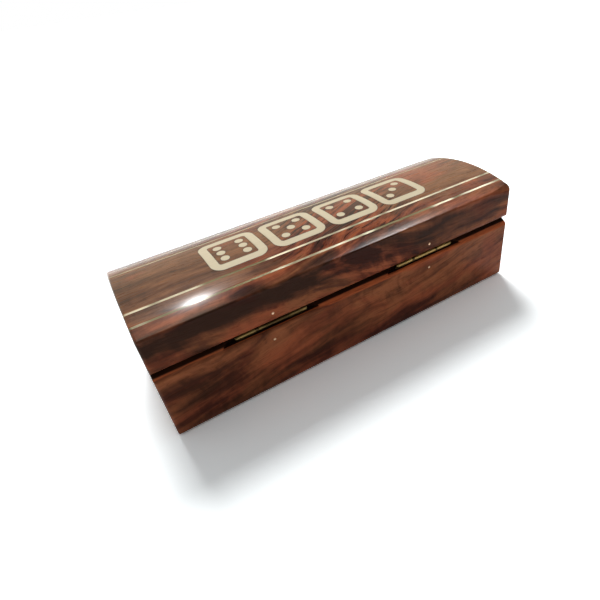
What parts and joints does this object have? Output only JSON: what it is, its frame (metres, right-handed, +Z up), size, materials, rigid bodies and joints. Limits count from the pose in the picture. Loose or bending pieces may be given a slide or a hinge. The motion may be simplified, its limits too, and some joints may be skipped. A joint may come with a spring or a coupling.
{
  "type": "dice box",
  "caption": "Arched wooden dice box with a hinged lid, inlaid strips and dice faces on top, and butt hinges sunk in a bevelled rear groove.",
  "frame": {"origin": "middle of the underside of the closed box", "axes": "+X along the box, +Y towards the hinges at the rear, -Y towards the opening side, +Z up"},
  "size_m": [0.146, 0.048, 0.0444],
  "materials": {
    "rosewood": "gloss lacquer",
    "strip_brass": "polished under lacquer",
    "pale_inlay": "gloss lacquer",
    "hinge_brass": "aged"
  },
  "bodies": {
    "base": {"base_rear_wall": "rosewood", "base_front_wall": "rosewood", "base_left_end": "rosewood", "base_right_end": "rosewood", "base_floor": "rosewood", "left_hinge_base_leaf": "hinge_brass", "left_hinge_pin": "hinge_brass", "left_hinge_base_nail": "hinge_brass", "right_hinge_base_leaf": "hinge_brass", "right_hinge_pin": "hinge_brass", "right_hinge_base_nail": "hinge_brass"},
    "lid": {"lid_rear_wall": "rosewood", "lid_front_wall": "rosewood", "lid_left_end": "rosewood", "lid_right_end": "rosewood", "lid_top": "rosewood", "strip_rear_outer": "strip_brass", "strip_rear_inner": "strip_brass", "strip_front_inner": "strip_brass", "strip_front_outer": "strip_brass", "inlay_three": "pale_inlay", "inlay_four": "pale_inlay", "inlay_five": "pale_inlay", "inlay_six": "pale_inlay", "left_hinge_lid_leaf": "hinge_brass", "left_hinge_lid_nail": "hinge_brass", "right_hinge_lid_leaf": "hinge_brass", "right_hinge_lid_nail": "hinge_brass"}
  },
  "joints": [
    {"name": "lid_hinge", "type": "hinge", "parent": "base", "child": "lid", "pos_m": [0, 0.0221, 0.0262], "axis": [-1, 0, 0], "range_deg": [0, 95]}
  ]
}
